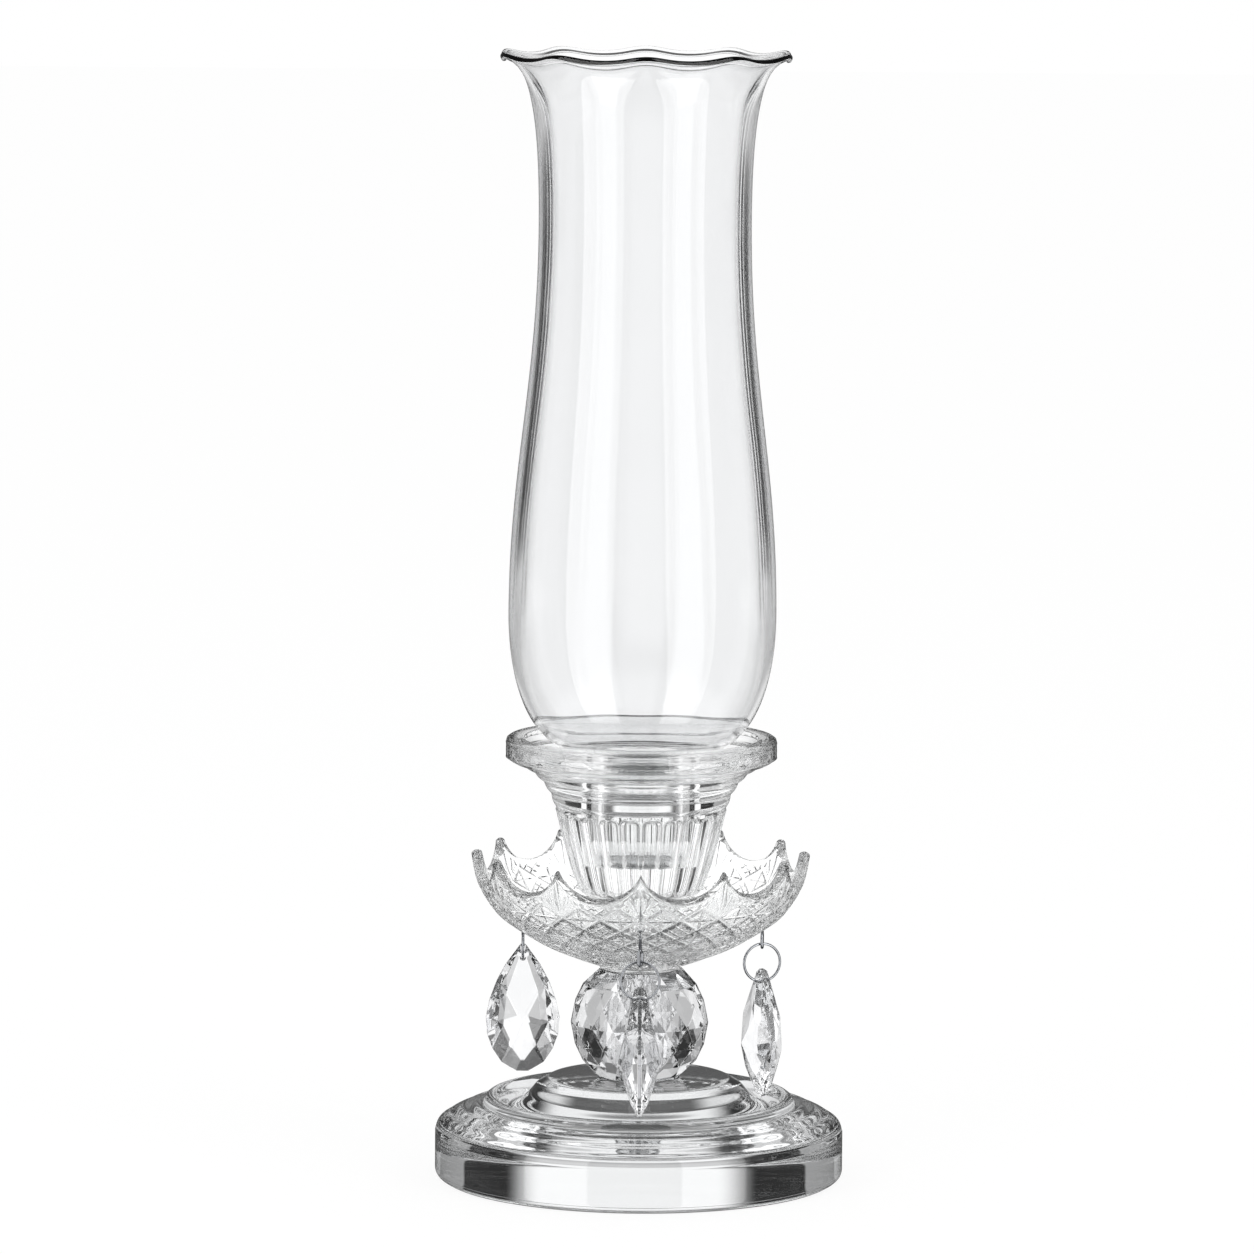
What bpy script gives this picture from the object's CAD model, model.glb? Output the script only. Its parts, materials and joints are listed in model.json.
"""A clear glass hurricane candle holder: foot, faceted ball, cut bowl, fluted cup, blown shade and drops.

Lengths inside the shape functions are millimetres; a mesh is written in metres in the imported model's frame.
"""

import json
import math

import bmesh
import bpy
import numpy as np
from bpy.props import FloatProperty, FloatVectorProperty, IntProperty, PointerProperty
from mathutils import Euler, Matrix, Vector


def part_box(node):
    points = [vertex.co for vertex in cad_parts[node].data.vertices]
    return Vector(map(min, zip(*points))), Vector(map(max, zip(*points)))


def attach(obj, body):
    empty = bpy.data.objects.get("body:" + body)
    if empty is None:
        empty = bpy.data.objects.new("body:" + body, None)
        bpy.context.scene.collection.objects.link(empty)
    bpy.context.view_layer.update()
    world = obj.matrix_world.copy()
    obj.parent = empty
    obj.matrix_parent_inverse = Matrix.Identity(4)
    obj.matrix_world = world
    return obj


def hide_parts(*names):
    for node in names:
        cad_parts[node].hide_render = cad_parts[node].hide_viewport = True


bl_info = {
    "name": "Hurricane Candle Holder",
    "version": (1, 0, 0),
    "blender": (4, 5, 0),
    "location": "3D View > Sidebar > Candle Holder",
    "description": "Builds a clear glass hurricane candle holder with hanging drops",
    "category": "Add Mesh",
}

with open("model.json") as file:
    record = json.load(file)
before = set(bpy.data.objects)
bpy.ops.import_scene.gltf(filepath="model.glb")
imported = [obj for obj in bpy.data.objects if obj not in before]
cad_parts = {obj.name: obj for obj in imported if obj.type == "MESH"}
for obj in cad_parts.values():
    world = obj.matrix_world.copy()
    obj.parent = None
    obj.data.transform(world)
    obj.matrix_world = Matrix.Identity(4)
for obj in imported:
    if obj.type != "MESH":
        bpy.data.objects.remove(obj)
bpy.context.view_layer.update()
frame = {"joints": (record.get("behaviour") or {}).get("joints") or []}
MM = 0.001
PENDANTS = ("front", "right", "back", "left")
RINGED = ("front", "right", "back")
JOINTS = {joint["name"]: joint for joint in frame["joints"]}


def low(node, axis=2):
    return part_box(node)[0][axis] / MM


def high(node, axis=2):
    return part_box(node)[1][axis] / MM


# Sizes and colours


def length(name, description, default):
    """A length in metres, given in millimetres."""
    return FloatProperty(
        name=name, description=description, default=default * MM, unit="LENGTH", precision=4
    )


def colour(name, description, default):
    return FloatVectorProperty(
        name=name, description=description, default=default, subtype="COLOR", size=3, min=0, max=1
    )


class FootSizes(bpy.types.PropertyGroup):
    radius: length("Radius", "Outer radius of the foot", high("base", 0))
    pad_radius: length("Pad radius", "Radius of the raised pad under the ball", 30.6)
    channel_floor: length("Channel floor", "Height of the channel round the pad", 20.7)
    bead_height: length("Bead height", "Height of the bead round the channel", 24.4)
    wall_top: length("Wall top", "Height where the upright wall ends", 13.6)


class BowlSizes(bpy.types.PropertyGroup):
    radius: length("Radius", "Radius at the points", high("bowl", 0))
    wall: length("Wall", "Thickness of the glass", 3.2)
    points: IntProperty(name="Points", description="Number of scallop points", default=12)
    scallop_depth: length("Scallop depth", "Points to the bottom of the scallops", 7.9)
    cut_depth: length("Cut depth", "Depth of the wheel cuts", 0.55)


class CupSizes(bpy.types.PropertyGroup):
    rim_radius: length("Rim radius", "Outer radius of the rim band", high("cup", 0))
    body_radius: length("Body radius", "Radius of the fluted body", 23.6)
    flutes: IntProperty(name="Flutes", description="Number of flutes", default=24)
    flute_depth: length("Flute depth", "Depth of a flute", 1.2)
    socket_radius: length("Socket radius", "Radius of the candle socket", 11.6)


class ShadeSizes(bpy.types.PropertyGroup):
    wall: length("Wall", "Thickness of the blown glass", 1.9)
    belly_radius: length("Belly radius", "Widest radius of the body", 39.4)
    waist_radius: length("Waist radius", "Narrowest radius under the lip", 31.2)
    lip_radius: length("Lip radius", "Mean radius of the crimped lip", 43.1)
    waves: IntProperty(name="Waves", description="Number of waves in the lip", default=10)
    wave: length("Wave", "Height of a wave in the lip", 0.8)


class WireSizes(bpy.types.PropertyGroup):
    ring_radius: length("Ring radius", "Jump ring, to the middle of its wire", 5.6)
    ring_wire: length("Ring wire", "Radius of the ring's wire", 0.38)
    eye_wire: length("Eye wire", "Radius of the eye's wire", 0.45)


class GlassLooks(bpy.types.PropertyGroup):
    clear: colour("Pressed glass", "Tint of the thick pressed glass", (0.975, 0.98, 0.98))
    crystal: colour("Crystal", "Tint of the faceted ball and drops", (0.83, 0.833, 0.84))
    blown: colour("Blown glass", "Tint of the thin shade", (0.868, 0.871, 0.875))
    cup: colour("Cup glass", "Tint of the fluted cup", (0.885, 0.89, 0.892))
    foot: colour("Foot glass", "Tint of the solid foot", (0.745, 0.752, 0.757))
    plating: colour("Wire plating", "Colour of the plated wire", (0.4, 0.41, 0.43))
    floor: colour("Floor", "Colour of the floor", (0.9, 0.9, 0.9))


GROUPS = {
    "foot": FootSizes,
    "bowl": BowlSizes,
    "cup": CupSizes,
    "shade": ShadeSizes,
    "wire": WireSizes,
    "looks": GlassLooks,
}


def sizes(group):
    """The group's lengths in millimetres, and its counts as they are."""
    values = getattr(bpy.context.scene, "holder_" + group)
    found = {}
    for name, prop in values.bl_rna.properties.items():
        if prop.type == "FLOAT" and not prop.is_array:
            found[name] = getattr(values, name) / MM
        elif prop.type == "INT":
            found[name] = getattr(values, name)
    return found


def tint(name):
    return (*getattr(bpy.context.scene.holder_looks, name), 1.0)


# Curves and surfaces


def spline(points, count):
    """A uniform Catmull-Rom curve through the points, whose ends repeat, at count + 1 even steps."""
    p = np.asarray(points, float)
    t = np.linspace(0, len(p) - 1, count + 1)
    i = np.minimum(t.astype(int), len(p) - 2)
    f = (t - i)[:, None]
    a, b, c, d = (p[np.clip(i + k, 0, len(p) - 1)] for k in (-1, 0, 1, 2))
    v0, v1 = (c - a) / 2, (d - b) / 2
    return (2 * b - 2 * c + v0 + v1) * f**3 + (3 * c - 3 * b - 2 * v0 - v1) * f**2 + v0 * f + b


def bezier(points, count):
    """A cubic Bezier curve drawn by four points, at count + 1 even steps."""
    a, b, c, d = np.asarray(points, float)
    t = np.linspace(0, 1, count + 1)[:, None]
    return a * (1 - t) ** 3 + 3 * b * t * (1 - t) ** 2 + 3 * c * t**2 * (1 - t) + d * t**3


def arc(centre, radius, start, end, count):
    """count + 1 points of a circle's arc, from one angle to another in degrees."""
    a = np.radians(np.linspace(start, end, count + 1))
    return np.stack([centre[0] + radius * np.cos(a), centre[1] + radius * np.sin(a)], 1)


def spread(outline, count):
    """The outline resampled to count points at equal steps of its own length."""
    p = np.asarray(outline, float)
    keep = np.concatenate([[True], np.linalg.norm(np.diff(p, axis=0), axis=1) > 1e-7])
    p = p[keep]
    s = np.concatenate([[0], np.cumsum(np.linalg.norm(np.diff(p, axis=0), axis=1))])
    u = np.linspace(0, s[-1], count)
    return np.stack([np.interp(u, s, p[:, 0]), np.interp(u, s, p[:, 1])], 1)


def normals_of(outline):
    """Unit vectors to the right of a run of (radius, height) points, which is outwards on a rising one."""
    d = np.gradient(np.asarray(outline, float), axis=0)
    d /= np.linalg.norm(d, axis=1)[:, None]
    return np.stack([d[:, 1], -d[:, 0]], 1)


def step(low_edge, high_edge, x):
    """0 below the low edge, 1 above the high edge, and a smooth cubic between them."""
    t = np.clip((x - low_edge) / (high_edge - low_edge), 0, 1)
    return t * t * (3 - 2 * t)


def linked(name, data):
    """An object of the data, linked to the scene."""
    obj = bpy.data.objects.new(name, data)
    bpy.context.scene.collection.objects.link(obj)
    return obj


def new_object(name, mesh, material, body, nodes):
    obj = linked(name, mesh)
    mesh.materials.append(material)
    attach(obj, body)
    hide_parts(*nodes)
    return obj


def write_mesh(name, points, faces, smooth=True):
    """A mesh of the points in millimetres and an array of quads, where a repeated corner makes a triangle."""
    mesh = bpy.data.meshes.new(name)
    faces = np.asarray(faces)
    triangular = faces[:, 3] == faces[:, 2]
    counts = np.where(triangular, 3, 4)
    keep = np.ones(faces.shape, bool)
    keep[triangular, 3] = False
    mesh.vertices.add(len(points))
    mesh.vertices.foreach_set("co", (np.asarray(points, np.float32) * MM).ravel())
    mesh.loops.add(int(counts.sum()))
    mesh.loops.foreach_set("vertex_index", faces[keep].astype(np.int32))
    mesh.polygons.add(len(faces))
    starts = np.concatenate([[0], np.cumsum(counts)[:-1]])
    mesh.polygons.foreach_set("loop_start", starts.astype(np.int32))
    mesh.polygons.foreach_set("use_smooth", np.full(len(faces), smooth))
    mesh.update(calc_edges=True)
    mesh.validate()
    return mesh


def turned_mesh(name, radii, heights, angles):
    """A closed surface from rows of radii and heights (rows by columns) turned round the axis.

    A first row of radius 0 makes both ends poles; otherwise the last row joins the first.
    """
    rows, columns = radii.shape
    poles = radii[0, 0] == 0
    points = np.stack([radii * np.cos(angles), radii * np.sin(angles), heights], 2).reshape(-1, 3)
    j = np.arange(rows - 1 if poles else rows)[:, None]
    i = np.arange(columns)[None, :]
    here, there = i + 0 * j, (i + 1) % columns + 0 * j
    a, b = j * columns + here, j * columns + there
    c, d = (j + 1) % rows * columns + there, (j + 1) % rows * columns + here
    faces = np.stack([a, b, c, d], 2)
    if not poles:
        return write_mesh(name, points, faces.reshape(-1, 4))
    bottom, top = 0, (rows - 1) * columns
    first = np.stack([0 * here[0] + bottom, c[0], d[0], d[0]], 1)
    last = np.stack([a[-1], b[-1], 0 * here[0] + top, 0 * here[0] + top], 1)
    faces = np.concatenate([first, faces[1:-1].reshape(-1, 4), last])
    used = np.unique(faces)
    return write_mesh(name, points[used], np.searchsorted(used, faces))


def swept(path, radius, sides, closed):
    """Points and faces of a round tube along a path in a plane: each ring lies square to the path."""
    p = np.asarray(path, float)
    ahead = np.roll(p, -1, 0) - np.roll(p, 1, 0) if closed else np.gradient(p, axis=0)
    ahead /= np.linalg.norm(ahead, axis=1)[:, None]
    across = np.array([0.0, 1.0, 0.0])[None, :] * np.ones((len(p), 1))
    up = np.cross(ahead, across)
    a = np.linspace(0, 2 * np.pi, sides, endpoint=False)[None, :, None]
    rings = p[:, None] + radius * (np.cos(a) * across[:, None] + np.sin(a) * up[:, None])
    n = len(p)
    j = np.arange(n if closed else n - 1)[:, None]
    i = np.arange(sides)[None, :]
    k, m = (j + 1) % n, (i + 1) % sides
    faces = np.stack([j * sides + i, j * sides + m, k * sides + m, k * sides + i], 2)
    return rings.reshape(-1, 3), faces.reshape(-1, 4)


# Materials


def new_material(name):
    material = bpy.data.materials.new(name)
    material.use_nodes = True
    return material


def fill(node, values):
    """Sets the named inputs of the node."""
    for label, value in values.items():
        node.inputs[label].default_value = value


def node_group(name, inputs, outputs):
    group = bpy.data.node_groups.new(name, "ShaderNodeTree")
    for label, kind, default in inputs:
        socket = group.interface.new_socket(label, in_out="INPUT", socket_type=kind)
        if default is not None:
            socket.default_value = default
    for label, kind in outputs:
        group.interface.new_socket(label, in_out="OUTPUT", socket_type=kind)
    return group, group.nodes.new("NodeGroupInput"), group.nodes.new("NodeGroupOutput")


def glass_group():
    """Melt waves, seeds and faint handling haze of made glass, as a colour, a roughness and a height."""
    name = "Made glass"
    if name in bpy.data.node_groups:
        return bpy.data.node_groups[name]
    inputs = [
        ("Tint", "NodeSocketColor", (1, 1, 1, 1)),
        ("Wave scale", "NodeSocketFloat", 30.0),
        ("Haze", "NodeSocketFloat", 0.01),
    ]
    outputs = [
        ("Color", "NodeSocketColor"),
        ("Roughness", "NodeSocketFloat"),
        ("Height", "NodeSocketFloat"),
    ]
    group, enter, leave = node_group(name, inputs, outputs)
    new, link = group.nodes.new, group.links.new
    place = new("ShaderNodeTexCoord")
    waves = new("ShaderNodeTexNoise")
    fill(waves, {"Detail": 1.5})
    link(place.outputs["Object"], waves.inputs["Vector"])
    link(enter.outputs["Wave scale"], waves.inputs["Scale"])
    link(waves.outputs["Fac"], leave.inputs["Height"])
    haze = new("ShaderNodeTexNoise")
    fill(haze, {"Scale": 55.0, "Detail": 4.0})
    link(place.outputs["Object"], haze.inputs["Vector"])
    ramp = new("ShaderNodeMapRange")
    fill(ramp, {"From Min": 0.55, "From Max": 0.8})
    link(haze.outputs["Fac"], ramp.inputs["Value"])
    amount = new("ShaderNodeMath")
    amount.operation = "MULTIPLY"
    link(ramp.outputs["Result"], amount.inputs[0])
    link(enter.outputs["Haze"], amount.inputs[1])
    link(amount.outputs["Value"], leave.inputs["Roughness"])
    deeper = new("ShaderNodeMix")
    deeper.data_type = "RGBA"
    deeper.blend_type = "MULTIPLY"
    shade = new("ShaderNodeMapRange")
    fill(shade, {"To Min": 0.0, "To Max": 0.25})
    link(waves.outputs["Fac"], shade.inputs["Value"])
    link(shade.outputs["Result"], deeper.inputs["Factor"])
    link(enter.outputs["Tint"], deeper.inputs[6])
    link(enter.outputs["Tint"], deeper.inputs[7])
    link(deeper.outputs[2], leave.inputs["Color"])
    return group


def glass(name, tint_name, ior, wave_scale, wave_height, haze):
    """Clear glass: the shared group gives its tint and haze, and its waves are a bump."""
    material = bpy.data.materials.get(name)
    if material:
        return material
    material = new_material(name)
    new, link = material.node_tree.nodes.new, material.node_tree.links.new
    shader = material.node_tree.nodes["Principled BSDF"]
    fill(shader, {"Transmission Weight": 1.0, "IOR": ior, "Metallic": 0.0})
    made = new("ShaderNodeGroup")
    made.node_tree = glass_group()
    fill(made, {"Tint": tint(tint_name), "Wave scale": wave_scale, "Haze": haze})
    link(made.outputs["Color"], shader.inputs["Base Color"])
    link(made.outputs["Roughness"], shader.inputs["Roughness"])
    bump = new("ShaderNodeBump")
    fill(bump, {"Strength": 1.0, "Distance": wave_height * MM})
    link(made.outputs["Height"], bump.inputs["Height"])
    link(bump.outputs["Normal"], shader.inputs["Normal"])
    return material


def math_node(tree, operation, *values, clamp=False):
    """A math node in the tree: each value is a number or a socket to link."""
    node = tree.nodes.new("ShaderNodeMath")
    node.operation = operation
    node.use_clamp = clamp
    for socket, value in zip(node.inputs, values):
        if isinstance(value, (int, float)):
            socket.default_value = value
        else:
            tree.links.new(value, socket)
    return node.outputs[0]


def ramp_node(tree, value, start, end, low_value, high_value):
    """A smooth step from the low value at the start to the high value at the end."""
    node = tree.nodes.new("ShaderNodeMapRange")
    node.interpolation_type = "SMOOTHSTEP"
    fill(node, {"From Min": start, "From Max": end, "To Min": low_value, "To Max": high_value})
    tree.links.new(value, node.inputs["Value"])
    return node.outputs["Result"]


def cut_glass():
    """Pressed glass whose lozenges hold fine cuts: crossed lines in one, a star of ribs in the next."""
    material = glass("wheel_cut_glass", "clear", 1.5, 30.0, 0.06, 0.006)
    tree = material.node_tree
    new, link = tree.nodes.new, tree.links.new

    def maths(operation, *values, clamp=False):
        return math_node(tree, operation, *values, clamp=clamp)

    def lines(value, count, width):
        """Even lines, count of them in each whole step of the value: 1 on a line, 0 from the width away."""
        away = maths("PINGPONG", value, 0.5 / count)
        return maths("SUBTRACT", 1.0, maths("DIVIDE", away, width), clamp=True)

    place, parts = new("ShaderNodeTexCoord"), new("ShaderNodeSeparateXYZ")
    link(place.outputs["Object"], parts.inputs[0])
    marks, apart = new("ShaderNodeAttribute"), new("ShaderNodeSeparateXYZ")
    marks.attribute_name = "wheel_cuts"
    link(marks.outputs["Vector"], apart.inputs[0])
    x, y, _ = parts.outputs
    down, fine, _ = apart.outputs
    around = maths("ARCTAN2", x, maths("MULTIPLY", y, -1.0))
    turns = maths("MULTIPLY", around, sizes("bowl")["points"] / math.pi)
    lift = maths("DIVIDE", maths("SUBTRACT", down, KITE_BOTTOM), LOZENGE)
    one, two = maths("ADD", lift, turns), maths("SUBTRACT", lift, turns)
    hatch = maths("MAXIMUM", lines(one, 3, 0.055), lines(two, 3, 0.055))
    star = maths("MAXIMUM", lines(turns, 2, 0.045), lines(lift, 2, 0.055))
    odd = maths("PINGPONG", maths("ADD", maths("FLOOR", one), maths("FLOOR", two)), 1.0)
    even = maths("SUBTRACT", 1.0, odd)
    chosen = maths("ADD", maths("MULTIPLY", hatch, even), maths("MULTIPLY", star, odd))
    away = maths("MINIMUM", maths("PINGPONG", one, 0.5), maths("PINGPONG", two, 0.5))
    inside = maths("MULTIPLY", ramp_node(tree, away, 0.11, 0.16, 0, 1), fine)
    cuts = new("ShaderNodeBump")
    cuts.invert = True
    fill(cuts, {"Strength": 1.0, "Distance": FINE_CUT_DEPTH * MM})
    link(maths("MULTIPLY", chosen, inside), cuts.inputs["Height"])
    shader, bump = tree.nodes["Principled BSDF"], tree.nodes["Bump"]
    link(bump.outputs["Normal"], cuts.inputs["Normal"])
    link(cuts.outputs["Normal"], shader.inputs["Normal"])
    return material


def crystal():
    return glass("polished_crystal", "crystal", 1.56, 15.0, 0.02, 0.008)


def blown_glass():
    return glass("thin_blown_glass", "blown", 1.48, 22.0, 0.12, 0.015)


def plated_wire():
    """Bright plating with faint drawing lines and a little dulling."""
    material = new_material("plated_wire")
    new, link = material.node_tree.nodes.new, material.node_tree.links.new
    shader = material.node_tree.nodes["Principled BSDF"]
    fill(shader, {"Metallic": 1.0})
    place = new("ShaderNodeTexCoord")
    spots = new("ShaderNodeTexNoise")
    fill(spots, {"Scale": 900.0, "Detail": 5.0})
    link(place.outputs["Object"], spots.inputs["Vector"])
    rough = new("ShaderNodeMapRange")
    fill(rough, {"To Min": 0.06, "To Max": 0.24})
    link(spots.outputs["Fac"], rough.inputs["Value"])
    link(rough.outputs["Result"], shader.inputs["Roughness"])
    shades = new("ShaderNodeMix")
    shades.data_type = "RGBA"
    plate = tint("plating")
    shades.inputs[6].default_value = plate
    shades.inputs[7].default_value = (*(0.8 * c for c in plate[:3]), 1)
    link(spots.outputs["Fac"], shades.inputs["Factor"])
    link(shades.outputs[2], shader.inputs["Base Color"])
    bump = new("ShaderNodeBump")
    fill(bump, {"Distance": 0.01 * MM})
    link(spots.outputs["Fac"], bump.inputs["Height"])
    link(bump.outputs["Normal"], shader.inputs["Normal"])
    return material


# Shapes


def turned(name, outline, columns):
    """A plain turned surface: the outline is the same at every angle."""
    angles = np.linspace(0, 2 * np.pi, columns, endpoint=False)[None, :]
    outline = np.asarray(outline)
    radii = outline[:, 0:1] + 0 * angles
    radii[np.abs(outline[:, 0]) < 1e-9] = 0
    return turned_mesh(name, radii, outline[:, 1:2] + 0 * angles, angles)


def foot_outline(z):
    """Underside, rounded bottom edge, wall, sloping shoulder, groove, bead, channel and pad."""
    s = sizes("foot")
    radius, pad, floor, bead, wall = (
        s[k] for k in ("radius", "pad_radius", "channel_floor", "bead_height", "wall_top")
    )
    top = high("base") - z
    shoulder = spline(
        [
            (radius, wall),
            (radius - 0.85, wall + 2.45),
            (radius - 2.7, wall + 3.9),
            (radius - 8.35, wall + 6.65),
            (radius - 14, wall + 7.8),
        ],
        60,
    )
    inner = spline(
        [
            (radius - 14.2, wall + 8.4),
            (radius - 14.9, wall + 10.1),
            (radius - 16.6, bead),
            (radius - 19.1, (bead + floor) / 2),
            (radius - 21.6, floor),
        ],
        44,
    )
    outline = np.concatenate(
        [
            [(0, 0)],
            spread([(0.5, 0), (radius - 2.6, 0)], 12),
            arc((radius - 2.6, 2.6), 2.6, -84, 0, 10),
            spread([(radius, 3.4), (radius, wall - 0.6)], 10),
            shoulder,
            inner,
            spline(
                [
                    (radius - 22.4, floor - 0.05),
                    (pad + 4.6, floor + 1.5),
                    (pad + 2.3, floor + 3.9),
                    (pad + 0.1, floor + 6.2),
                    (pad - 1.9, top - 1.2),
                    (pad - 3.9, top - 0.3),
                    (pad - 6, top),
                ],
                56,
            ),
            spread([(pad - 6.6, top), (0.5, top)], 50),
            [(0, top)],
        ]
    )
    r = outline[:, 0]
    rings = step(14, 17, r) * step(wall + 0.3, wall + 2, outline[:, 1])
    deep = 0.04 + 0.06 * step(pad - 6, pad, r)
    outline[:, 1] -= deep * rings * (1 - np.cos(2 * np.pi * r / 4.3))
    return outline


# Shares of the bowl's radius and height, above its flat underside
BOWL_OUTLINE = [(0.4, 0.11), (0.56, 0.21), (0.72, 0.35)]
BOWL_OUTLINE += [(0.84, 0.48), (0.92, 0.64), (0.97, 0.79), (1.0, 1.0)]
BOWL_HEIGHT = 33.4
BOWL_FLAT = 11.8
# Lengths down the wall of the kite's top, widest place and bottom, and half of its width
KITE_TOP, KITE_WIDE, KITE_BOTTOM, KITE_HALF = 1.2, 7.4, 13.6, 5.6
LOZENGE = 9.0
FINE_CUT_DEPTH = 0.32


def groove(distance, width):
    """A V cut: 1 on its line and 0 from half the width away."""
    return np.clip(1 - np.abs(distance) * 2 / width, 0, 1)


def bowl_cuts(turn, unit, down):
    """How deep the wheel cuts the bowl, from 0 to 1.

    turn runs from -1 to 1 between the middles of two scallops, unit is the arc length of one turn,
    and down is the length along the wall from the points, both in millimetres. A kite with a fan of
    cuts hangs under each point, and crossed cuts make lozenges below.
    """
    across = turn * unit
    upper = (down - KITE_TOP) / (KITE_WIDE - KITE_TOP) * KITE_HALF - np.abs(across)
    lower = (KITE_BOTTOM - down) / (KITE_BOTTOM - KITE_WIDE) * KITE_HALF - np.abs(across)
    side = np.where(down < KITE_WIDE, upper, lower)
    fan = np.arctan2(across, KITE_BOTTOM + 0.6 - down)
    rays = groove((np.mod(fan + 0.2, 0.4) - 0.2) * np.hypot(across, KITE_BOTTOM - down), 1.7)
    kite = np.maximum(0.85 * rays * step(0.2, 0.9, side), groove(side * 0.8, 1.5))
    lift = (down - KITE_BOTTOM) / LOZENGE
    slope = 1 / np.hypot(1 / LOZENGE, 1 / unit)
    one, two = (groove((line - np.round(line)) * slope, 1.8) for line in (lift + turn, lift - turn))
    return np.where(side > 0, kite, np.maximum(one, two) * step(-1.0, 0.6, down - 8.2))


def bowl_wall():
    """The bowl's outer outline up to its points, and the length run along it."""
    radius = sizes("bowl")["radius"]
    control = [(BOWL_FLAT + 0.4, 0.9)] + [(a * radius, b * BOWL_HEIGHT) for a, b in BOWL_OUTLINE]
    outline = spread(spline(control, 400), 700)
    return outline, np.concatenate([[0], np.cumsum(np.linalg.norm(np.diff(outline, axis=0), axis=1))])


def bowl_mesh():
    """The outline is cut off along the scallops, and the wheel cuts sink in along its normals."""
    s = sizes("bowl")
    z0 = low("bowl")
    outline, along = bowl_wall()
    columns = s["points"] * 60
    angles = np.linspace(0, 2 * np.pi, columns, endpoint=False)
    pitch = 2 * np.pi / s["points"]
    place = (angles + np.pi / 2) / pitch
    turn = 2 * (place - np.round(place))
    curve = 0.94
    reach = curve * (1 - np.abs(turn))
    arch = (1 - np.sqrt(1 - reach**2)) / (1 - math.sqrt(1 - curve**2))
    rim = BOWL_HEIGHT - s["scallop_depth"] * (1 - arch)
    rim_along = np.interp(rim, outline[:, 1], along)
    rows = 94
    at = np.linspace(0, 1, rows)[:, None] * rim_along[None, :]
    r, z = np.interp(at, along, outline[:, 0]), np.interp(at, along, outline[:, 1])
    normal = normals_of(outline)
    nr, nz = np.interp(at, along, normal[:, 0]), np.interp(at, along, normal[:, 1])
    down = along[-1] - at
    near_rim = step(0.4, 1.6, rim_along[None, :] - at)
    near_foot = step(0.5, 3.0, at)
    cut = bowl_cuts(turn[None, :], pitch / 2 * r, down)
    cut *= s["cut_depth"] * near_rim * near_foot
    outer_r, outer_z = r - nr * cut, z - nz * cut
    wall = s["wall"]
    half = wall / 2
    lip_angle = np.radians(np.linspace(20, 160, 7))[:, None]
    er, ez = outer_r[-1], outer_z[-1]
    enr, enz = nr[-1][None, :], nz[-1][None, :]
    lip_r = er - enr * half + half * (enr * np.cos(lip_angle) - enz * np.sin(lip_angle) * 0.7)
    lip_z = ez - enz * half + half * (enz * np.cos(lip_angle) + enr * np.sin(lip_angle) * 0.7)
    inner_share = np.linspace(1, 0, 12)[:, None]
    inner_start = np.interp(19.5, outline[:, 0], along)
    inner_at = inner_start + (rim_along[None, :] - inner_start) * inner_share
    inner_r = np.interp(inner_at, along, outline[:, 0] - normal[:, 0] * wall)
    inner_z = np.interp(inner_at, along, outline[:, 1] - normal[:, 1] * wall)
    boss_top = high_boss()
    floor = inner_z[-1].mean()
    boss = np.concatenate(
        [
            spread([(17.4, floor - 0.35), (16.6, floor - 0.3)], 3),
            arc((16.8, floor + 2.2), 2.4, 265, 185, 5),
            spread([(14.25, floor + 3), (14, boss_top - 0.7)], 3),
            arc((13.5, boss_top - 0.5), 0.5, 5, 85, 3),
            spread([(13, boss_top), (0.5, boss_top)], 2),
            [(0, boss_top)],
        ]
    )
    foot = np.array([(0, 0), (0.5, 0), (BOWL_FLAT - 0.4, 0), (BOWL_FLAT, 0.25)])
    ones = np.ones((1, columns))
    radii = np.concatenate([foot[:, :1] * ones, outer_r, lip_r, inner_r, boss[:, :1] * ones])
    heights = np.concatenate([foot[:, 1:] * ones, outer_z, lip_z, inner_z, boss[:, 1:] * ones])
    return turned_mesh("cut_bowl", radii, heights + z0, angles[None, :])


def mark_cuts(mesh):
    """Keeps, at each corner, its length down the wall in millimetres and whether fine cuts lie there."""
    s = sizes("bowl")
    outline, along = bowl_wall()
    points = np.empty(3 * len(mesh.vertices), np.float32)
    mesh.vertices.foreach_get("co", points)
    x, y, z = points.reshape(-1, 3).T / MM
    z = z - low("bowl")
    down = along[-1] - np.interp(z, outline[:, 1], along)
    place = np.arctan2(x, -y) * s["points"] / (2 * np.pi)
    across = np.abs(place - np.round(place)) * 2 * np.pi / s["points"] * np.hypot(x, y)
    kite = np.maximum(1.2 - np.abs(down - KITE_WIDE) / (KITE_BOTTOM - KITE_WIDE), 0) * KITE_HALF
    outside = np.hypot(x, y) > np.interp(z, outline[:, 1], outline[:, 0]) - 1.2
    fine = outside * step(0.4, 1.2, across - kite) * step(8.2, 9.4, down) * step(0.5, 3.0, z)
    marks = mesh.attributes.new("wheel_cuts", "FLOAT_VECTOR", "POINT")
    marks.data.foreach_set("vector", np.stack([down, fine, 0 * fine], 1).astype(np.float32).ravel())


def high_boss():
    """Height of the bowl's centre boss above its underside: the film under the cup lies on it."""
    return low("cup_film") - low("bowl")


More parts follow.
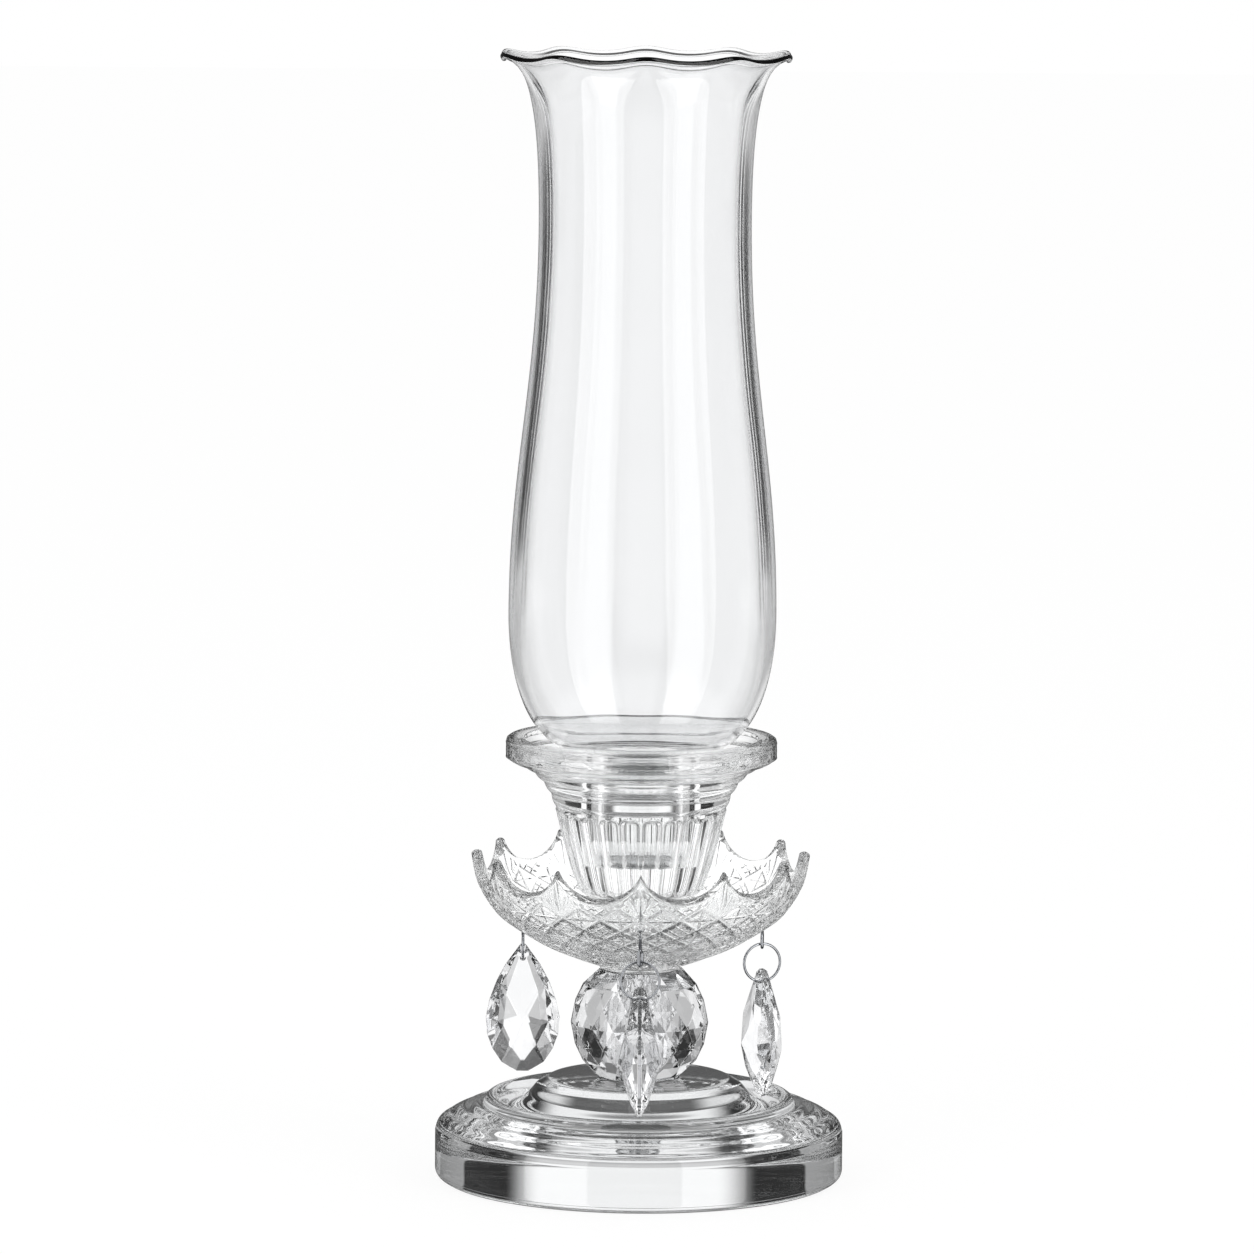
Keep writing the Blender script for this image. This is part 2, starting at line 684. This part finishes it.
def cup_mesh():
    """A turned outline whose body is hollowed by flutes and whose rim band carries small pyramids."""
    s = sizes("cup")
    z0 = low("cup")
    height = high("cup") - z0
    body, body_height, rim = s["body_radius"], 25.2, s["rim_radius"]
    band, ledge = height - 5.8, height - 8.4
    socket, bottom = s["socket_radius"], ledge - 28
    columns = s["flutes"] * 24
    angles = np.linspace(0, 2 * np.pi, columns, endpoint=False)[None, :]
    foot = np.concatenate([[(0, 0)], spread([(0.5, 0), (16.4, 0)], 2), [(17.0, 0.2), (17.4, 0.7)]])
    side = spread(
        spline(
            [
                (18.2, 1.4),
                (0.86 * body, 0.27 * body_height),
                (0.93 * body, 0.5 * body_height),
                (0.995 * body, 0.73 * body_height),
                (1.065 * body, body_height),
            ],
            100,
        ),
        56,
    )
    cove = bezier(
        [
            (1.065 * body, body_height + 0.6),
            (1.14 * body, body_height + 0.5 * (band - body_height)),
            (0.81 * rim, band - 2.2),
            (rim - 0.8, band - 0.8),
        ],
        34,
    )
    steps = np.arange(len(cove)) / (len(cove) - 1)
    cove = cove + normals_of(cove) * (0.5 * np.abs(np.sin(5 * np.pi * steps)) - 0.25)[:, None]
    side_rim = spread([(rim, band), (rim, height - 1.6)], 21)
    mouth = np.concatenate(
        [
            [(rim - 0.3, height - 0.5), (rim - 1, height)],
            spread([(rim - 1.4, height), (35.3, height)], 2),
            arc((35.1, height - 0.8), 0.8, 95, 175, 4),
            spline([(34.2, height - 1), (29.8, ledge + 3.8), (25.9, ledge + 1.7)], 10),
            spread([(25.3, ledge + 1), (25.3, ledge)], 2),
            spread([(25.2, ledge), (socket + 0.8, ledge)], 3),
            arc((socket + 0.6, ledge - 0.6), 0.6, 95, 175, 4),
            spread([(socket, ledge - 1), (socket, bottom + 0.6)], 4),
            arc((socket - 0.6, bottom + 0.6), 0.6, 0, -85, 4),
            spread([(socket - 1, bottom), (0.5, bottom)], 2),
            [(0, bottom)],
        ]
    )
    ones = np.ones_like(angles)
    phase = np.mod(s["flutes"] * (angles + np.pi / 2) / (2 * np.pi), 1)
    across = np.abs(phase - 0.5) * 2
    up = (side[:, 1:] - 1.4) / (body_height - 1.4)
    ends = np.clip(np.minimum(up / 0.09, (1 - up) / 0.09), 0, 1)
    width = 0.86 * np.sqrt(np.clip(1 - (1 - ends) ** 2, 0, 1))
    hollow = np.clip(1 - (across / np.maximum(width, 0.02)) ** 4, 0, 1) * np.clip(ends * 3, 0, 1)
    side_r = side[:, :1] * ones - 0.8 * s["flute_depth"] * hollow
    pyramids = np.mod(s["flutes"] * 2 * angles / (2 * np.pi), 1)
    rise = np.abs(np.linspace(-1, 1, len(side_rim)))[:, None]
    stud = np.clip(1 - np.abs(pyramids - 0.5) * 2 - rise + 0.15, 0, 1) * 0.85
    side_rim_r = side_rim[:, :1] * ones - 0.1 * step(0.0, 0.12, 1 - rise) * (1 - stud)
    radii = np.concatenate([foot[:, :1] * ones, side_r, cove[:, :1] * ones, side_rim_r])
    radii = np.concatenate([radii, mouth[:, :1] * ones])
    heights = np.concatenate([part[:, 1:] * ones for part in (foot, side, cove, side_rim, mouth)])
    return turned_mesh("fluted_cup", radii, heights + z0, angles)


def shade_mesh():
    """A blown wall between two outlines: soft ribs run up it, and the lip is rolled out and waved."""
    s = sizes("shade")
    z0 = low("shade")
    height = 208.2
    foot, belly, waist, lip = 23.3, s["belly_radius"], s["waist_radius"], s["lip_radius"]
    outline = spread(
        np.concatenate(
            [
                [(foot, 0)],
                bezier([(foot + 0.6, 5.5), (foot + 10.4, 9.2), (belly, 25.2), (belly, 45.2)], 60),
                bezier([(belly, 45.2), (belly, 88.7), (waist, 111.7), (waist, 159.8)], 60),
                bezier(
                    [
                        (waist, 159.8),
                        (waist, height - 15),
                        (waist + 3.3, height - 3.4),
                        (lip - 1.7, height - s["wave"] - 0.35),
                    ],
                    60,
                ),
            ]
        ),
        104,
    )
    wall = s["wall"]
    thin = wall * (1 - 0.3 * step(10, 60, outline[:, 1]) - 0.25 * step(190, 204, outline[:, 1]))
    normal = normals_of(outline)
    inner = outline - normal * thin[:, None]
    inner[0, 1] = 0
    end, end_normal = outline[-1] - normal[-1] * thin[-1] / 2, normal[-1]
    ahead = np.array([-end_normal[1], end_normal[0]])
    a = np.radians(np.linspace(-60, 205, 18))[:, None]
    middle = end + 0.7 * ahead + 0.35 * end_normal
    bead = middle + 0.92 * (np.cos(a) * end_normal + np.sin(a) * ahead)
    profile = np.concatenate([outline, bead, inner[::-1]])
    columns = s["waves"] * 40
    angles = np.linspace(0, 2 * np.pi, columns, endpoint=False)[None, :]
    r, z = profile[:, :1], profile[:, 1:]
    share = step(height - 14, height, z)
    beat = np.cos(s["waves"] * (angles + np.pi / 2))
    wave = s["wave"] * (beat + 0.12 * np.cos(2 * s["waves"] * (angles + np.pi / 2)))
    inside = (np.arange(len(profile)) >= len(outline) + len(bead))[:, None]
    ribs = 0.16 * step(14, 60, z) * (1 - share) * np.where(inside, -0.8, 1.0)
    radii = r + share * wave + ribs * beat
    return turned_mesh("blown_shade", radii, z + share * wave * 0.8 + z0, angles)


DROP_HOLE = 3.7  # millimetres from a drop's top to its hole
# Shares of a drop's length, half width and, for the facets, half depth
DROP_EDGE = [(0.0, 0.07), (0.05, 0.19), (0.16, 0.47), (0.29, 0.71), (0.44, 0.9), (0.58, 1.0)]
DROP_EDGE += [(0.71, 0.96), (0.82, 0.82), (0.93, 0.57), (1.0, 0.16)]
DROP_FACETS = [(0.02, 0.0, 0.27), (0.2, 0.0, 0.5), (0.36, 0.42, 0.66), (0.58, 0.0, 1.0)]
DROP_FACETS += [(0.62, 0.52, 0.68), (0.78, 0.26, 0.62), (0.9, 0.0, 0.42)]


def heading(joint):
    """The angle of the joint's axis round the upright one."""
    return math.atan2(joint["axis"][1], joint["axis"][0])


def put(mesh, place, turn):
    """Turns the mesh round the upright axis and moves it to the place, in metres."""
    mesh.transform(Matrix.Translation(place) @ Matrix.Rotation(turn, 4, "Z"))


def hull_mesh(name, points):
    """The convex hull of the points, with flat facets and softened edges."""
    work = bmesh.new()
    for point in points:
        work.verts.new(point)
    bmesh.ops.convex_hull(work, input=work.verts)
    loose = [v for v in work.verts if not v.link_faces]
    bmesh.ops.delete(work, geom=loose, context="VERTS")
    bmesh.ops.dissolve_limit(work, angle_limit=0.002, verts=work.verts, edges=work.edges)
    bmesh.ops.recalc_face_normals(work, faces=work.faces)
    edges = list(work.edges)
    bmesh.ops.bevel(work, geom=edges, offset=0.09, segments=1, affect="EDGES", clamp_overlap=True)
    bmesh.ops.scale(work, vec=(MM, MM, MM), verts=work.verts)
    mesh = bpy.data.meshes.new(name)
    work.to_mesh(mesh)
    work.free()
    return mesh


def drilled(mesh, bars):
    """The mesh with round holes cut in it. A bar is a radius and the two ends of its axis, in millimetres."""
    work = bmesh.new()
    for radius, start, end in bars:
        start, end = Vector(start) * MM, Vector(end) * MM
        turn = (end - start).to_track_quat("Z", "Y").to_matrix().to_4x4()
        bmesh.ops.create_cone(
            work,
            cap_ends=True,
            segments=28,
            radius1=radius * MM,
            radius2=radius * MM,
            depth=(end - start).length,
            matrix=Matrix.Translation((start + end) / 2) @ turn,
        )
    tool_mesh = bpy.data.meshes.new("drill")
    work.to_mesh(tool_mesh)
    work.free()
    tool, body = linked("drill", tool_mesh), linked("drilled", mesh)
    cut = body.modifiers.new("hole", "BOOLEAN")
    cut.operation = "DIFFERENCE"
    cut.solver = "MANIFOLD"
    cut.object = tool
    bpy.context.view_layer.update()
    made = bpy.data.meshes.new_from_object(body.evaluated_get(bpy.context.evaluated_depsgraph_get()))
    made.materials.clear()
    for obj in (tool, body):
        bpy.data.objects.remove(obj)
    return made


def drop_mesh(name):
    """Facet corners mirrored to both faces and both sides, hung from the middle of its hole."""
    long, wide, thick, edge = 37.8, 21.8, 12.6, 1.1
    points = []
    for along, half, deep in [(a, h, edge / thick) for a, h in DROP_EDGE] + DROP_FACETS:
        for side in (-1, 1):
            for face in (-1, 1):
                across, out = side * half * wide / 2, face * deep * thick / 2
                points.append((out, across, DROP_HOLE - along * long))
    return drilled(hull_mesh(name, sorted(set(points))), [(0.9, (-thick, 0, 0), (thick, 0, 0))])


def ball_points():
    """Rows of corners on a sphere, each row turned half a side from the last, with flats at both ends."""
    radius, flat, sides = high("ball", 0), 12.6, 16
    middle = (low("ball") + high("ball")) / 2
    top = math.asin(math.sqrt(radius**2 - flat**2) / radius)
    rows = [(0.0, sides, 0.0)]
    for side in (-1, 1):
        rows += [(side * top / 3, sides, 0.5), (side * top * 2 / 3, sides, 0.0)]
        rows += [(side * top, sides // 2, 0.25)]
    points = []
    for latitude, count, shift in rows:
        for i in range(count):
            a = 2 * math.pi * (i + shift) / count
            r = radius * math.cos(latitude)
            points.append((r * math.cos(a), r * math.sin(a), middle + radius * math.sin(latitude)))
    return points


# Operators


class HOLDER_OT_foot(bpy.types.Operator):
    """Make the solid glass foot"""

    bl_idname = "holder.foot"
    bl_label = "Foot"

    def execute(self, context):
        z = low("base")
        mesh = turned("glass_foot", foot_outline(z), 288)
        material = glass("smooth_glass", "foot", 1.5, 22.0, 0.05, 0.006)
        new_object("glass_foot", mesh, material, "stand", ["base"])
        return {"FINISHED"}


class HOLDER_OT_ball(bpy.types.Operator):
    """Make the faceted ball"""

    bl_idname = "holder.ball"
    bl_label = "Ball"

    def execute(self, context):
        mesh = hull_mesh("faceted_ball", ball_points())
        new_object("faceted_ball", mesh, crystal(), "stand", ["ball"])
        return {"FINISHED"}


class HOLDER_OT_bowl(bpy.types.Operator):
    """Make the scalloped and wheel-cut bowl with its drilled holes"""

    bl_idname = "holder.bowl"
    bl_label = "Bowl"

    def execute(self, context):
        bars = []
        for name in PENDANTS:
            x, y, _ = (v / MM for v in JOINTS[name + "_swivel"]["pos_m"])
            seat = high(name + "_eye") - 1.1
            bars.append((1.1, (x, y, low("bowl") - 5), (x, y, high("bowl"))))
            bars.append((2.5, (x, y, seat), (x, y, high("bowl") + 1)))
        mesh = drilled(bowl_mesh(), bars)
        mark_cuts(mesh)
        new_object("cut_bowl", mesh, cut_glass(), "stand", ["bowl"])
        return {"FINISHED"}


class HOLDER_OT_cup(bpy.types.Operator):
    """Make the fluted candle cup"""

    bl_idname = "holder.cup"
    bl_label = "Cup"

    def execute(self, context):
        material = glass("fluted_glass", "cup", 1.5, 30.0, 0.08, 0.006)
        new_object("fluted_cup", cup_mesh(), material, "stand", ["cup"])
        return {"FINISHED"}


class HOLDER_OT_shade(bpy.types.Operator):
    """Make the blown shade"""

    bl_idname = "holder.shade"
    bl_label = "Shade"

    def execute(self, context):
        new_object("blown_shade", shade_mesh(), blown_glass(), "shade", ["shade"])
        return {"FINISHED"}


class HOLDER_OT_films(bpy.types.Operator):
    """Make the clear adhesive joints between the stacked pieces"""

    bl_idname = "holder.films"
    bl_label = "Adhesive"

    def execute(self, context):
        material = glass("pressed_glass", "clear", 1.5, 30.0, 0.08, 0.008)
        for node in ("base_film", "ball_film", "cup_film"):
            bottom, top, radius = low(node) + 0.03, high(node) - 0.03, high(node, 0)
            middle = (bottom + top) / 2
            outline = [(0, bottom), (radius - 0.3, bottom), (radius, middle), (radius - 0.3, top)]
            mesh = turned("clear_" + node, [*outline, (0, top)], 96)
            new_object("clear_" + node, mesh, material, "stand", [node])
        return {"FINISHED"}


class HOLDER_OT_drops(bpy.types.Operator):
    """Make the faceted almond drops"""

    bl_idname = "holder.drops"
    bl_label = "Drops"

    def execute(self, context):
        for name in PENDANTS:
            mesh = drop_mesh(name + "_crystal")
            node = name + "_drop"
            lo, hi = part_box(node)
            place = ((lo[0] + hi[0]) / 2, (lo[1] + hi[1]) / 2, hi[2] - DROP_HOLE * MM)
            put(mesh, place, heading(JOINTS[name + "_drop_swing"]))
            new_object(name + "_crystal", mesh, crystal(), node, [node])
        return {"FINISHED"}


class HOLDER_OT_wires(bpy.types.Operator):
    """Make the headed wire eyes and the jump rings"""

    bl_idname = "holder.wires"
    bl_label = "Wires"

    def execute(self, context):
        material = plated_wire()
        s = sizes("wire")
        for name in PENDANTS:
            ringed = name in RINGED
            width, height, wire = (2.6, 4.4, s["eye_wire"]) if ringed else (6.8, 6.8, s["ring_wire"])
            swing = JOINTS[name + ("_ring_swing" if ringed else "_drop_swing")]
            z = swing["pos_m"][2] / MM
            turn = heading(swing) - (0.4 if ringed else 0.0)
            node = name + "_eye"
            a = np.linspace(-np.pi / 2, 1.5 * np.pi, 64, endpoint=False)
            lift = (height - width) / 2 * np.sign(np.round(np.sin(a), 6)) + height / 2
            path = np.stack([width / 2 * np.cos(a), 0 * a, width / 2 * np.sin(a) + lift], 1)
            points, faces = swept(path, wire, 14, True)
            top = high(node) - z
            outline = [(0, height - wire / 2), (s["eye_wire"], height - wire / 2)]
            outline += [(s["eye_wire"], top - 0.8), (1.6, top - 0.8), (1.9, top - 0.55)]
            outline += [(1.85, top - 0.2), (1.3, top - 0.02), (0, top)]
            outline = np.array(outline)
            angles = np.linspace(0, 2 * np.pi, 32, endpoint=False)[None, :]
            pin = turned_mesh("pin", outline[:, :1] + 0 * angles, outline[:, 1:] + 0 * angles, angles)
            mesh = write_mesh(name + "_wire_eye", points, faces)
            join(mesh, pin)
            put(mesh, swing["pos_m"], turn)
            new_object(name + "_wire_eye", mesh, material, node, [node])
            if ringed:
                self.ring(name, swing, s, material)
        return {"FINISHED"}

    def ring(self, name, swing, s, material):
        node = name + "_ring"
        a = np.linspace(0, 2 * np.pi, 120, endpoint=False)
        path = s["ring_radius"] * np.stack([np.cos(a), 0 * a, np.sin(a)], 1)
        mesh = write_mesh(name + "_jump_ring", *swept(path, s["ring_wire"], 14, True))
        lo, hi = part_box(node)
        x, y, _ = swing["pos_m"]
        put(mesh, (x, y, (lo[2] + hi[2]) / 2), heading(swing) - math.pi / 2)
        new_object(name + "_jump_ring", mesh, material, node, [node])


def join(mesh, other):
    """Adds the other mesh's faces to the mesh."""
    work = bmesh.new()
    work.from_mesh(mesh)
    work.from_mesh(other)
    work.to_mesh(mesh)
    work.free()
    mesh.polygons.foreach_set("use_smooth", np.full(len(mesh.polygons), True))


class HOLDER_OT_stage(bpy.types.Operator):
    """Make the camera, the floor, the lamps and the surroundings"""

    bl_idname = "holder.stage"
    bl_label = "Stage"

    def execute(self, context):
        self.camera()
        self.floor()
        self.surroundings()
        self.lamp("left_softbox", (-0.9, -1.1, 1.0), 0.8, 6.0)
        self.lamp("right_softbox", (1.0, -0.8, 1.1), 0.8, 5.0)
        scene = bpy.context.scene
        scene.view_settings.view_transform = "Standard"
        scene.cycles.max_bounces = 28
        scene.cycles.transmission_bounces = 28
        scene.cycles.glossy_bounces = 8
        return {"FINISHED"}

    def camera(self):
        data = bpy.data.cameras.new("camera")
        data.sensor_width = 36.0
        data.lens = 209.9
        camera = linked("camera", data)
        camera.location = (-0.0045, -2.13, 0.413)
        tilt = Euler((math.radians(90 - 6.69), 0, 0)).to_matrix().to_4x4()
        roll = Matrix.Rotation(math.radians(0.4), 4, "Z")
        camera.rotation_euler = (tilt @ roll).to_euler()
        bpy.context.scene.camera = camera

    def floor(self):
        mesh = bpy.data.meshes.new("floor")
        mesh.from_pydata([(-8, -8, 0), (8, -8, 0), (8, 8, 0), (-8, 8, 0)], [], [(0, 1, 2, 3)])
        floor = linked("floor", mesh)
        floor.location.z = -0.0002
        material = new_material("white_floor")
        nodes, link = material.node_tree.nodes, material.node_tree.links.new
        nodes.remove(nodes["Principled BSDF"])
        glow = nodes.new("ShaderNodeEmission")
        glow.inputs["Strength"].default_value = 1.0
        matt = nodes.new("ShaderNodeBsdfDiffuse")
        matt.inputs["Color"].default_value = tint("floor")
        both = nodes.new("ShaderNodeMixShader")
        both.inputs["Fac"].default_value = 0.1
        link(glow.outputs["Emission"], both.inputs[1])
        link(matt.outputs["BSDF"], both.inputs[2])
        link(both.outputs["Shader"], nodes["Material Output"].inputs["Surface"])
        mesh.materials.append(material)
        floor.visible_transmission = False
        floor.visible_glossy = False
        floor.visible_diffuse = False
        self.contact()

    def contact(self):
        """The shaded floor under the foot, which only the glass shows."""
        outline = np.array([(0.0, -0.16), (58.0, -0.16), (58.0, -0.12), (0.0, -0.12)])
        shade = linked("contact_shade", turned("contact_shade", outline, 96))
        material = new_material("shaded_floor")
        shader = material.node_tree.nodes["Principled BSDF"]
        black, white = (0, 0, 0, 1), (1, 1, 1, 1)
        fill(shader, {"Base Color": black, "Emission Color": white, "Emission Strength": 0.12})
        shade.data.materials.append(material)
        return shade

    def lamp(self, name, place, size, power):
        data = bpy.data.lights.new(name, "AREA")
        data.size = size
        data.energy = power
        lamp = linked(name, data)
        lamp.location = place
        aim = Vector((0, 0, 0.15)) - lamp.location
        lamp.rotation_euler = aim.to_track_quat("-Z", "Y").to_euler()
        lamp.visible_glossy = False
        lamp.visible_transmission = False

    def surroundings(self):
        """White straight behind the glass, dark cards to its sides, and bright strips in reflections."""
        world = bpy.data.worlds.new("studio")
        bpy.context.scene.world = world
        world.use_nodes = True
        nodes, link = world.node_tree.nodes, world.node_tree.links.new
        back = nodes["Background"]
        back.inputs["Color"].default_value = (1, 1, 1, 1)

        def maths(operation, *values, clamp=False):
            return math_node(world.node_tree, operation, *values, clamp=clamp)

        def ramp(value, start, end, low_value, high_value):
            return ramp_node(world.node_tree, value, start, end, low_value, high_value)

        def band(value, start, end, soft):
            """1 between the start and the end, and 0 outside them."""
            return maths(
                "MULTIPLY", ramp(value, start, start + soft, 0, 1), ramp(value, end - soft, end, 1, 0)
            )

        def sum_of(*parts):
            total = parts[0]
            for part in parts[1:]:
                total = maths("ADD", total, part)
            return total

        place = nodes.new("ShaderNodeTexCoord")
        parts = nodes.new("ShaderNodeSeparateXYZ")
        link(place.outputs["Generated"], parts.inputs[0])
        x, y, z = parts.outputs
        turned_by = maths("SUBTRACT", maths("ARCTAN2", x, y), 0.04)
        azimuth = maths("ABSOLUTE", turned_by)
        rise = maths("ABSOLUTE", z)
        near = maths("SUBTRACT", math.pi, azimuth)
        softbox = maths("MULTIPLY", band(near, 0.44, 1.16, 0.05), band(z, -0.88, 0.9, 0.03))
        front = maths("MULTIPLY", ramp(near, 0.2, 0.34, 1, 0), ramp(z, 0.1, 0.3, 1.0, 0.1))
        side = band(azimuth, 1.2, 1.94, 0.05)
        behind = ramp(azimuth, 0.3, 0.48, 1, 0)
        sweep = maths("MULTIPLY", behind, ramp(z, 0.24, 0.42, 1.25, 0.12))
        walls = maths("MULTIPLY", band(azimuth, 0.78, 1.9, 0.03), ramp(rise, 0.7, 0.9, 1, 0))
        table = maths("MULTIPLY", ramp(azimuth, 1.5, 1.7, 1, 0), ramp(z, -0.11, -0.05, 1, 0))
        table = maths("MULTIPLY", table, maths("SUBTRACT", 1.0, behind))
        ceiling = maths("MULTIPLY", ramp(z, 0.35, 0.6, 0, 1), ramp(azimuth, 0.3, 0.48, 0, 1))
        through = sum_of(
            sweep,
            maths("MULTIPLY", walls, 0.45),
            maths("MULTIPLY", side, 0.5),
            maths("MULTIPLY", front, 1.2),
            maths("MULTIPLY", softbox, 1.2),
            maths("MULTIPLY", table, 0.65),
            maths("MULTIPLY", ceiling, 1.0),
            0.03,
        )
        mirrored = sum_of(maths("MULTIPLY", softbox, 2.4), 0.1)
        path = nodes.new("ShaderNodeLightPath")
        refracted = path.outputs["Is Transmission Ray"]
        reflected = maths("SUBTRACT", path.outputs["Is Glossy Ray"], refracted, clamp=True)
        direct = maths("ADD", path.outputs["Is Camera Ray"], path.outputs["Is Diffuse Ray"])
        seen = sum_of(
            maths("MULTIPLY", reflected, mirrored),
            maths("MULTIPLY", refracted, through),
            maths("MINIMUM", direct, 1.0),
        )
        link(seen, back.inputs["Strength"])


class HOLDER_PT_panel(bpy.types.Panel):
    """Lists the pieces of the candle holder"""

    bl_label = "Candle Holder"
    bl_idname = "HOLDER_PT_panel"
    bl_space_type = "VIEW_3D"
    bl_region_type = "UI"
    bl_category = "Candle Holder"

    def draw(self, context):
        for operator in OPERATORS:
            self.layout.operator(operator.bl_idname)
        for group in GROUPS:
            box = self.layout.box()
            box.label(text=group.capitalize())
            values = getattr(context.scene, "holder_" + group)
            for name in values.bl_rna.properties.keys():
                if name not in ("rna_type", "name"):
                    box.prop(values, name)


OPERATORS = (
    HOLDER_OT_stage,
    HOLDER_OT_foot,
    HOLDER_OT_ball,
    HOLDER_OT_bowl,
    HOLDER_OT_cup,
    HOLDER_OT_shade,
    HOLDER_OT_films,
    HOLDER_OT_drops,
    HOLDER_OT_wires,
)


def register():
    for group, cls in GROUPS.items():
        bpy.utils.register_class(cls)
        setattr(bpy.types.Scene, "holder_" + group, PointerProperty(type=cls))
    for cls in (*OPERATORS, HOLDER_PT_panel):
        bpy.utils.register_class(cls)


def unregister():
    for cls in (HOLDER_PT_panel, *reversed(OPERATORS)):
        bpy.utils.unregister_class(cls)
    for group, cls in GROUPS.items():
        delattr(bpy.types.Scene, "holder_" + group)
        bpy.utils.unregister_class(cls)


def main():
    register()
    for operator in OPERATORS:
        getattr(bpy.ops.holder, operator.bl_idname.split(".")[1])()


if __name__ == "__main__":
    main()
